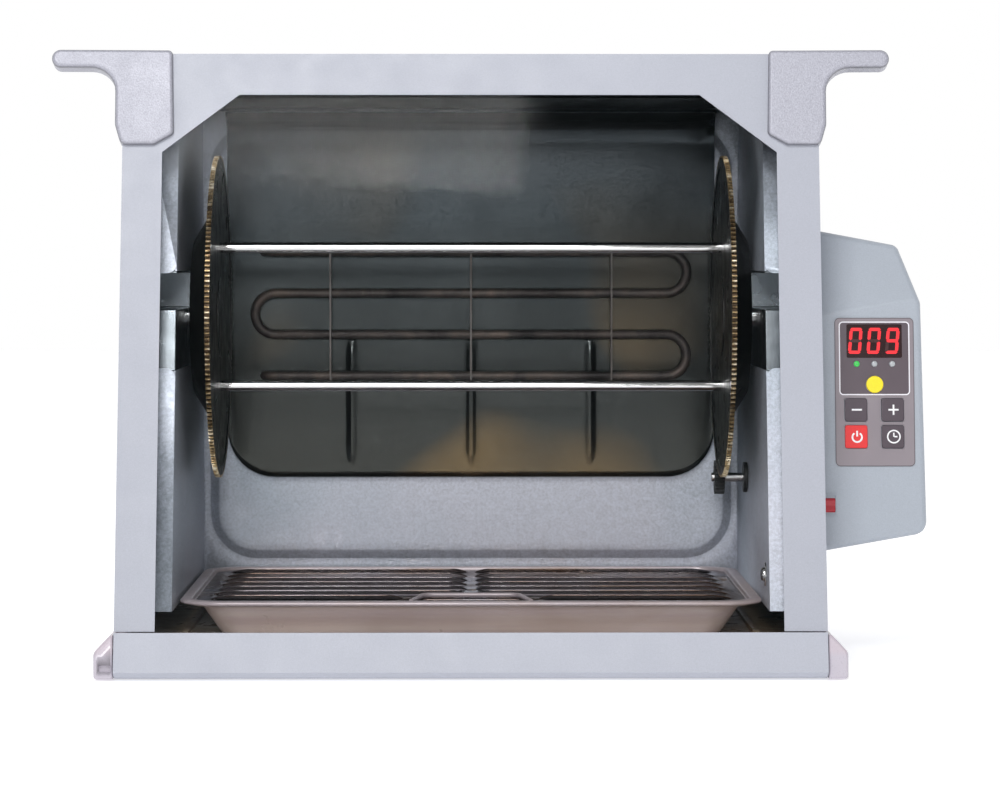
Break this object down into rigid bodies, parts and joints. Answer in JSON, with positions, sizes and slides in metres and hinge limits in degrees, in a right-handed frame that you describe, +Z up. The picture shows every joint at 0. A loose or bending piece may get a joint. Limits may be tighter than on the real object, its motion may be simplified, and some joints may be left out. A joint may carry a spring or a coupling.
{
  "type": "rotisserie oven",
  "caption": "Countertop rotisserie oven with a leaning glass door, a gear-driven twin-rod spit, a side control pod and a pull-out drip tray under a louvred grate.",
  "frame": {"origin": "middle of the bounding box's underside, on the table", "axes": "+X to the viewer's right along the spit, +Y to the back, +Z up"},
  "size_m": [0.5451, 0.34, 0.3825],
  "materials": {
    "glass": "clear tempered glass",
    "door_paint": "fine-textured periwinkle grey",
    "handle_plastic": "grained light silver grey",
    "case_paint": "fine-textured grey",
    "foot_plastic": "pale pinkish white",
    "rubber": "matt black",
    "galvanised": "spangled zinc coating",
    "floor_steel": "heat-browned bright steel",
    "reflector_steel": "dark polished sheet",
    "tray_steel": "satin stainless",
    "chrome": "bright plated",
    "screw_steel": "plated",
    "wheel_metal": "dark web with brassy teeth",
    "guide_metal": "bright pressed",
    "element_steel": "oxidised sheath",
    "ceramic": "unglazed",
    "pod_plastic": "fine-grained grey",
    "overlay": "printed film",
    "window_red": "dark red filter",
    "led_module": "segment display",
    "lamp": "indicator lenses",
    "board": "solder resist",
    "motor_can": "zinc plated can",
    "black_plastic": "black moulded",
    "key_grey": "dark keys",
    "key_red": "red key",
    "key_yellow": "yellow button",
    "rocker_red": "red rocker"
  },
  "bodies": {
    "oven_body": {"base_pan": "galvanised", "foot_left": "foot_plastic", "foot_right": "foot_plastic", "rubber_feet": "rubber", "side_panel_left": "case_paint", "side_panel_right": "case_paint", "top_panel": "case_paint", "rear_panel": "case_paint", "case_screws": "screw_steel", "liner_left": "galvanised", "liner_right": "galvanised", "liner_back": "galvanised", "liner_top": "reflector_steel", "liner_floor": "floor_steel", "liner_screws": "screw_steel", "spit_guide_left": "guide_metal", "spit_guide_right": "guide_metal", "heat_reflector": "reflector_steel", "reflector_clips": "element_steel", "heating_element": "element_steel", "element_insulators": "ceramic", "element_clips": "galvanised", "thermal_cutout": "black_plastic", "pod_front": "pod_plastic", "pod_rear": "pod_plastic", "control_overlay": "overlay", "display_window": "window_red", "led_display": "led_module", "indicator_leds": "lamp", "switch_bezel": "pod_plastic", "control_board": "board", "drive_motor": "motor_can", "motor_bracket": "galvanised", "shaft_bush": "black_plastic", "cord_gland": "black_plastic", "door_bumpers": "rubber"},
    "door": {"door_glass": "glass", "door_border": "door_paint", "door_handle_left": "handle_plastic", "door_handle_right": "handle_plastic", "handle_screws": "screw_steel", "door_bottom_rail": "door_paint", "hinge_pins": "screw_steel"},
    "spit": {"gear_wheel_left": "wheel_metal", "gear_wheel_right": "wheel_metal", "spit_hub_left": "chrome", "spit_hub_right": "chrome", "spit_rod_upper": "chrome", "spit_rod_lower": "chrome"},
    "drive": {"drive_pinion": "black_plastic", "drive_shaft": "screw_steel"},
    "function_button": {"function_button": "key_yellow"},
    "minus_key": {"minus_key": "key_grey"},
    "plus_key": {"plus_key": "key_grey"},
    "off_key": {"off_key": "key_red"},
    "hours_key": {"hours_key": "key_grey"},
    "power_rocker": {"power_rocker": "rocker_red"},
    "drip_tray": {"drip_tray": "tray_steel"},
    "tray_grate": {"tray_grate": "tray_steel"}
  },
  "joints": [
    {"name": "door_hinge", "type": "hinge", "parent": "oven_body", "child": "door", "pos_m": [-0.01395, -0.15774, 0.01897], "axis": [1, 0, 0], "range_deg": [0, 100]},
    {"name": "spit_spin", "type": "hinge", "parent": "oven_body", "child": "spit", "pos_m": [-0.01395, 0.00602, 0.2155], "axis": [1, 0, 0], "continuous": true},
    {"name": "drive_spin", "type": "hinge", "parent": "oven_body", "child": "drive", "pos_m": [0.14905, 0.0448, 0.10894], "axis": [1, 0, 0], "continuous": true},
    {"name": "tray_slide", "type": "slide", "parent": "oven_body", "child": "drip_tray", "axis": [0, -1, 0], "range_m": [0, 0.022]},
    {"name": "grate_lift", "type": "slide", "parent": "drip_tray", "child": "tray_grate", "axis": [0, 0, 1], "range_m": [0, 0.04]},
    {"name": "rocker_tilt", "type": "hinge", "parent": "oven_body", "child": "power_rocker", "pos_m": [0.20905, -0.06226, 0.09799], "axis": [1, 0, 0], "range_deg": [-14, 0]},
    {"name": "function_button_press", "type": "slide", "parent": "oven_body", "child": "function_button", "axis": [0, 0.9898, -0.1426], "range_m": [0, 0.001], "stiffness_N_per_m": 400},
    {"name": "minus_key_press", "type": "slide", "parent": "oven_body", "child": "minus_key", "axis": [0, 0.9898, -0.1426], "range_m": [0, 0.001], "stiffness_N_per_m": 400},
    {"name": "plus_key_press", "type": "slide", "parent": "oven_body", "child": "plus_key", "axis": [0, 0.9898, -0.1426], "range_m": [0, 0.001], "stiffness_N_per_m": 400},
    {"name": "off_key_press", "type": "slide", "parent": "oven_body", "child": "off_key", "axis": [0, 0.9898, -0.1426], "range_m": [0, 0.001], "stiffness_N_per_m": 400},
    {"name": "hours_key_press", "type": "slide", "parent": "oven_body", "child": "hours_key", "axis": [0, 0.9898, -0.1426], "range_m": [0, 0.001], "stiffness_N_per_m": 400}
  ],
  "couplings": [
    {"joint": "drive_spin", "follows": "spit_spin", "ratio": -10}
  ]
}
